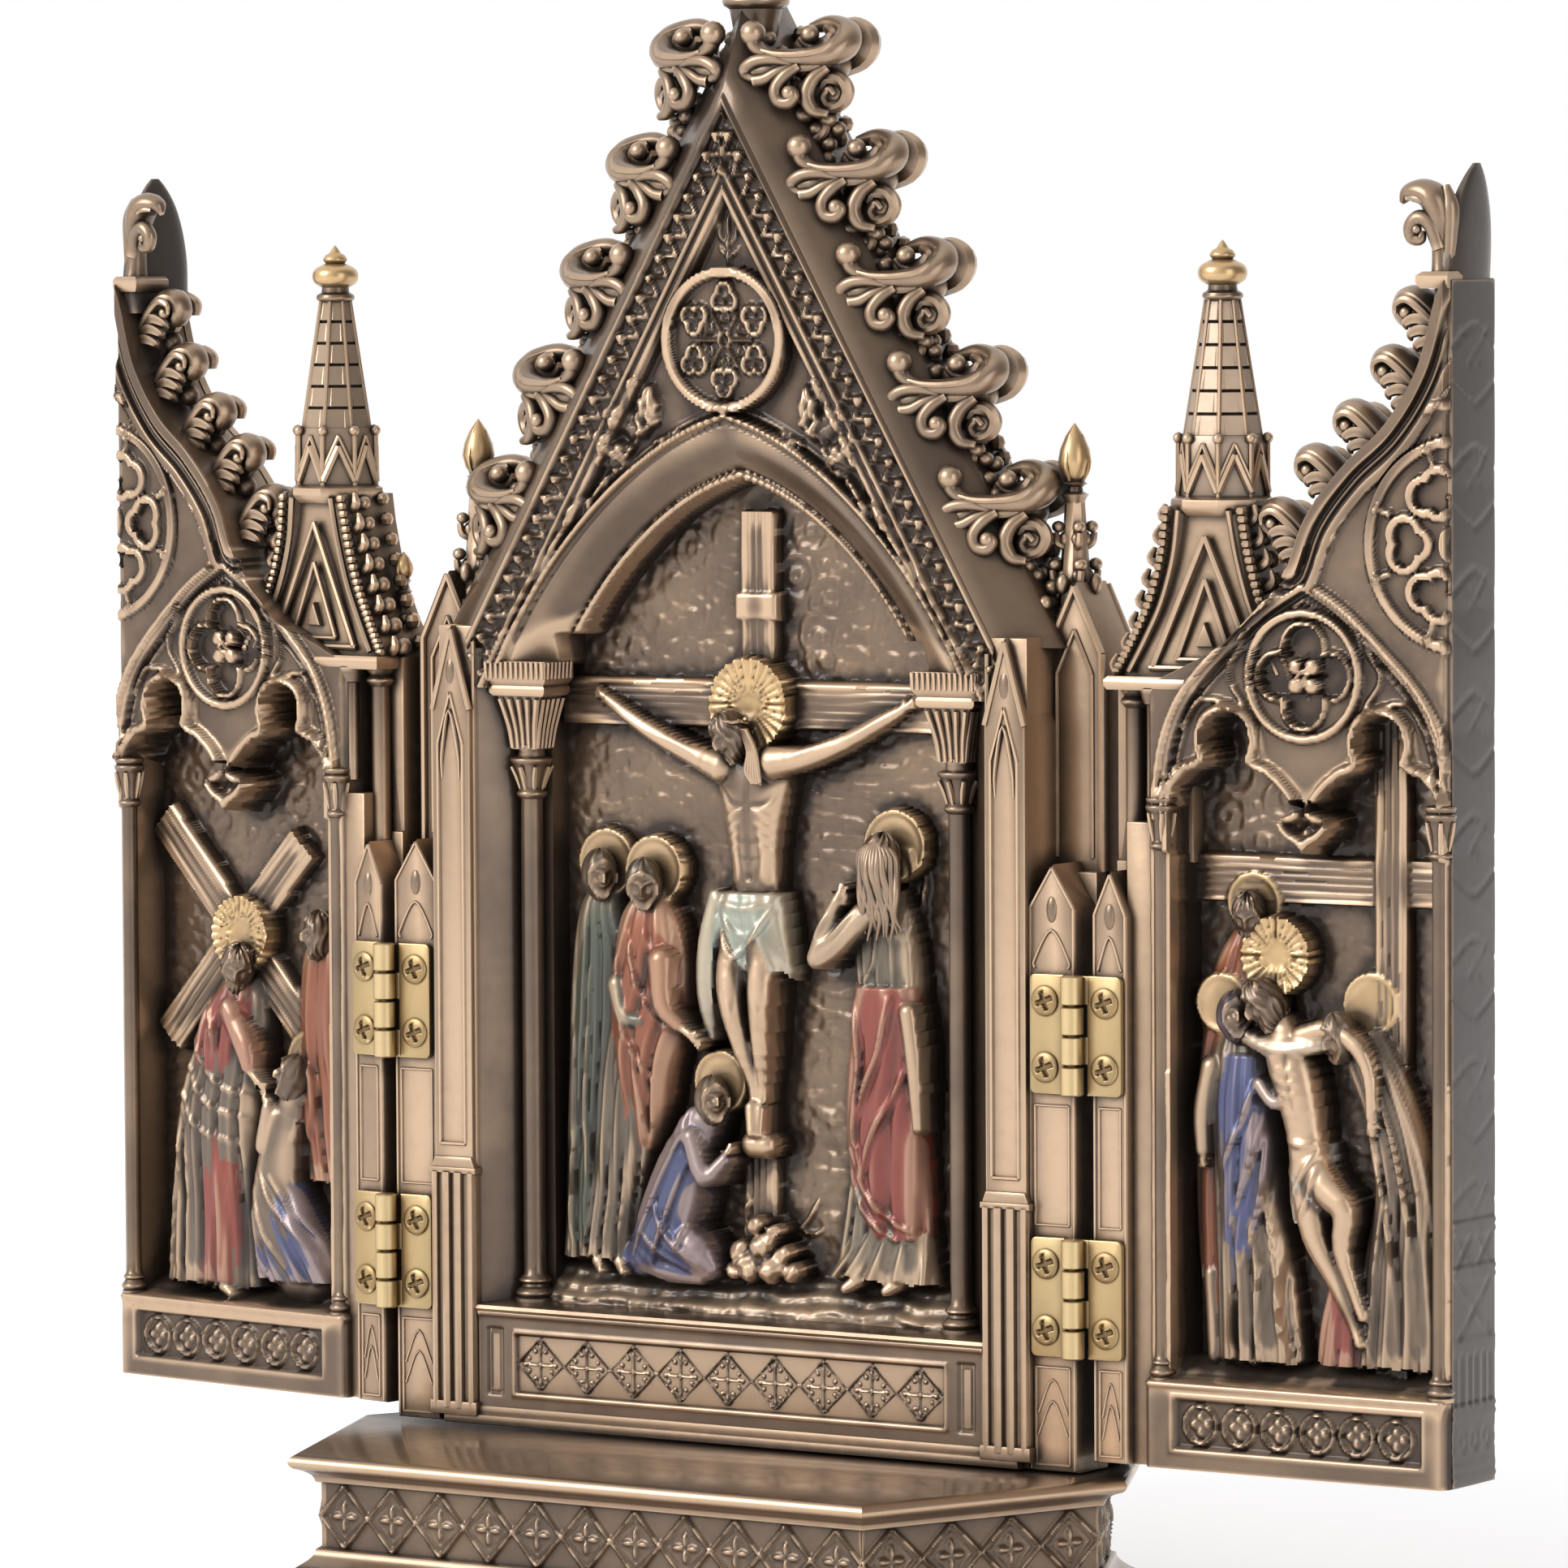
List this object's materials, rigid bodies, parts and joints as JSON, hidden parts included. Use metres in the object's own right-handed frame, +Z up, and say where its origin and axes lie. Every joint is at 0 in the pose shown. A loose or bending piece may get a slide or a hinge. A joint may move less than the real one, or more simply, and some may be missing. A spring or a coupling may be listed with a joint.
{
  "type": "triptych altarpiece",
  "caption": "Table-top Gothic triptych altarpiece: gabled relief centre on a moulded base, with two relief wings that swing on brass butt hinges.",
  "frame": {"origin": "middle of the flat underside of the base, on the surface it stands on", "axes": "+Z up; the carved front faces -Y; +X is the viewer's right; +Y is the back"},
  "size_m": [0.2458, 0.069, 0.262],
  "materials": {
    "bronze": "antiqued bronze powder in resin, brown with rubbed copper edges and dark recesses, satin",
    "brass": "aged unlacquered brass, satin"
  },
  "bodies": {
    "altarpiece": {"base": "bronze", "body": "bronze", "left_lower_hinge_body_leaf": "brass", "left_lower_hinge_pin": "brass", "left_lower_hinge_body_screw_bottom": "brass", "left_lower_hinge_body_screw_top": "brass", "left_upper_hinge_body_leaf": "brass", "left_upper_hinge_pin": "brass", "left_upper_hinge_body_screw_bottom": "brass", "left_upper_hinge_body_screw_top": "brass", "right_lower_hinge_body_leaf": "brass", "right_lower_hinge_pin": "brass", "right_lower_hinge_body_screw_bottom": "brass", "right_lower_hinge_body_screw_top": "brass", "right_upper_hinge_body_leaf": "brass", "right_upper_hinge_pin": "brass", "right_upper_hinge_body_screw_bottom": "brass", "right_upper_hinge_body_screw_top": "brass"},
    "left_wing": {"left_wing": "bronze", "left_lower_hinge_wing_leaf": "brass", "left_lower_hinge_wing_screw_bottom": "brass", "left_lower_hinge_wing_screw_top": "brass", "left_upper_hinge_wing_leaf": "brass", "left_upper_hinge_wing_screw_bottom": "brass", "left_upper_hinge_wing_screw_top": "brass"},
    "right_wing": {"right_wing": "bronze", "right_lower_hinge_wing_leaf": "brass", "right_lower_hinge_wing_screw_bottom": "brass", "right_lower_hinge_wing_screw_top": "brass", "right_upper_hinge_wing_leaf": "brass", "right_upper_hinge_wing_screw_bottom": "brass", "right_upper_hinge_wing_screw_top": "brass"}
  },
  "joints": [
    {"name": "left_wing_hinge", "type": "hinge", "parent": "altarpiece", "child": "left_wing", "pos_m": [-0.062, 0.0065, 0.06], "axis": [0, 0, -1], "range_deg": [-187.9, 2.1]},
    {"name": "right_wing_hinge", "type": "hinge", "parent": "altarpiece", "child": "right_wing", "pos_m": [0.062, 0.0065, 0.06], "axis": [0, 0, 1], "range_deg": [-180.3, 9.7]}
  ]
}
